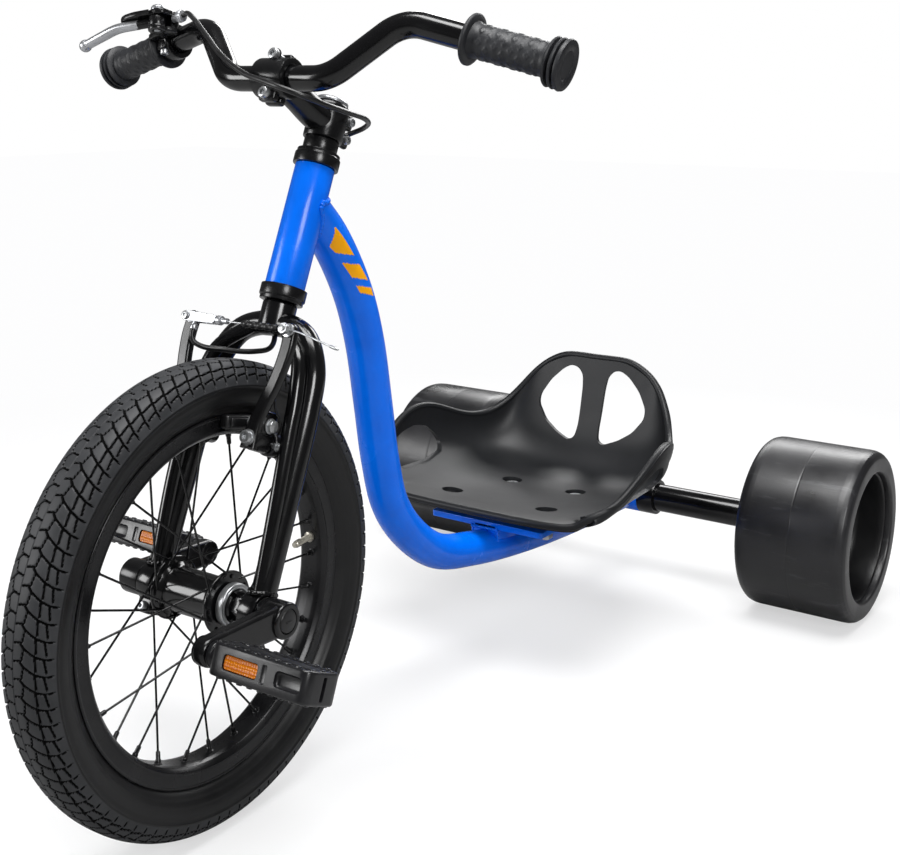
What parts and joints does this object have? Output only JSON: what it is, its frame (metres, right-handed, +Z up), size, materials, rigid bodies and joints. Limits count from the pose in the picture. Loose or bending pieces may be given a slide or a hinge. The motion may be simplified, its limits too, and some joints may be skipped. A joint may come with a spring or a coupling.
{
  "type": "drift trike",
  "caption": "drift trike with a pedalled, braked spoked front wheel, a low bucket seat on a bent tube frame, and wide slick rear wheels that slide",
  "frame": {"origin": "on the ground, under the middle of the trike's length and width", "axes": "+X to the rider's left, +Y to the rear, +Z up; the front wheel points to -Y"},
  "size_m": [0.64, 1.109, 0.7085],
  "materials": {
    "blue_paint": "glossy blue powder coat",
    "black_paint": "glossy black powder coat",
    "seat_plastic": "satin black moulded plastic with a fine grain",
    "wheel_plastic": "hard black roto-moulded plastic, lightly scuffed",
    "pedal_plastic": "dark grey moulded plastic",
    "tyre_rubber": "black tyre rubber",
    "soft_rubber": "dark soft rubber",
    "grip_rubber": "dark grey grip rubber",
    "black_alloy": "black anodised aluminium",
    "bright_alloy": "bright polished aluminium",
    "zinc_steel": "bright zinc-plated steel",
    "bearing_steel": "ground bearing steel",
    "valve_brass": "dulled brass",
    "amber_plastic": "amber moulded reflector"
  },
  "bodies": {
    "frame_body": {"frame": "blue_paint", "upper_headset_cup": "black_alloy", "lower_headset_cup": "black_alloy", "seat": "seat_plastic", "left_front_seat_bolt": "zinc_steel", "right_front_seat_bolt": "zinc_steel", "left_rear_seat_bolt": "zinc_steel", "right_rear_seat_bolt": "zinc_steel", "rear_axle_tube": "black_paint", "rear_axle_rod": "zinc_steel", "left_axle_bolt": "zinc_steel", "right_axle_bolt": "zinc_steel", "left_axle_nut": "zinc_steel", "right_axle_nut": "zinc_steel"},
    "steering": {"fork": "black_paint", "headset_spacer": "black_alloy", "stem": "black_alloy", "stem_faceplate": "black_alloy", "stem_cap": "bright_alloy", "handlebar": "black_paint", "left_grip": "grip_rubber", "right_grip": "grip_rubber", "lever_bracket": "black_alloy", "lever_pin": "zinc_steel", "cable_adjuster": "bright_alloy", "brake_cable": "soft_rubber", "left_crank_bearing": "bearing_steel", "right_crank_bearing": "bearing_steel", "left_brake_bolt": "zinc_steel", "right_brake_bolt": "zinc_steel"},
    "lever": {"brake_lever": "bright_alloy"},
    "left_brake": {"left_brake_arm": "black_alloy", "left_brake_pad": "soft_rubber", "inner_cable": "zinc_steel", "cable_boot": "soft_rubber"},
    "right_brake": {"right_brake_arm": "black_alloy", "right_brake_pad": "soft_rubber", "brake_noodle": "zinc_steel"},
    "crankset": {"crank_spindle": "bearing_steel", "left_crank": "black_alloy", "right_crank": "black_alloy", "left_pedal_axle": "bearing_steel", "right_pedal_axle": "bearing_steel"},
    "front_wheel": {"front_tyre": "tyre_rubber", "front_rim": "black_alloy", "front_hub_and_spokes": "black_paint", "tyre_valve": "valve_brass", "freewheel_ring": "zinc_steel"},
    "left_pedal_body": {"left_pedal": "pedal_plastic", "left_pedal_front_reflector": "amber_plastic", "left_pedal_rear_reflector": "amber_plastic"},
    "right_pedal_body": {"right_pedal": "pedal_plastic", "right_pedal_front_reflector": "amber_plastic", "right_pedal_rear_reflector": "amber_plastic"},
    "left_wheel": {"left_rear_wheel": "wheel_plastic", "left_inner_bearing": "bearing_steel", "left_outer_bearing": "bearing_steel"},
    "right_wheel": {"right_rear_wheel": "wheel_plastic", "right_inner_bearing": "bearing_steel", "right_outer_bearing": "bearing_steel"}
  },
  "joints": [
    {"name": "steering_turn", "type": "hinge", "parent": "frame_body", "child": "steering", "pos_m": [0, -0.21978, 0.51061], "axis": [0, 0.3907, 0.9205], "range_deg": [-40, 40], "deforming": ["brake_cable"]},
    {"name": "crank_turn", "type": "hinge", "parent": "steering", "child": "crankset", "pos_m": [0, -0.3495, 0.205], "axis": [1, 0, 0], "continuous": true},
    {"name": "front_wheel_spin", "type": "hinge", "parent": "crankset", "child": "front_wheel", "pos_m": [0, -0.3495, 0.205], "axis": [1, 0, 0], "continuous": true},
    {"name": "left_pedal_spin", "type": "hinge", "parent": "crankset", "child": "left_pedal_body", "pos_m": [0.15, -0.43449, 0.20619], "axis": [1, 0, 0], "continuous": true},
    {"name": "right_pedal_spin", "type": "hinge", "parent": "crankset", "child": "right_pedal_body", "pos_m": [-0.15, -0.26451, 0.20381], "axis": [1, 0, 0], "continuous": true},
    {"name": "lever_pull", "type": "hinge", "parent": "steering", "child": "lever", "pos_m": [-0.15348, -0.23765, 0.69194], "axis": [0.2102, -0.2883, -0.9342], "range_deg": [0, 22], "stiffness_Nm_per_rad": 0.4, "springref_deg": -22.92},
    {"name": "left_arm_swing", "type": "hinge", "parent": "steering", "child": "left_brake", "pos_m": [0.042, -0.32543, 0.34361], "axis": [0, -0.9205, 0.3907], "range_deg": [0, 4.5], "deforming": ["inner_cable"]},
    {"name": "right_arm_swing", "type": "hinge", "parent": "steering", "child": "right_brake", "pos_m": [-0.042, -0.32543, 0.34361], "axis": [0, 0.9205, -0.3907], "range_deg": [0, 4.5]},
    {"name": "left_wheel_spin", "type": "hinge", "parent": "frame_body", "child": "left_wheel", "pos_m": [0.254, 0.4505, 0.104], "axis": [1, 0, 0], "continuous": true},
    {"name": "right_wheel_spin", "type": "hinge", "parent": "frame_body", "child": "right_wheel", "pos_m": [-0.254, 0.4505, 0.104], "axis": [1, 0, 0], "continuous": true}
  ],
  "couplings": [
    {"joint": "left_arm_swing", "follows": "lever_pull", "ratio": 0.2},
    {"joint": "right_arm_swing", "follows": "lever_pull", "ratio": 0.2}
  ]
}
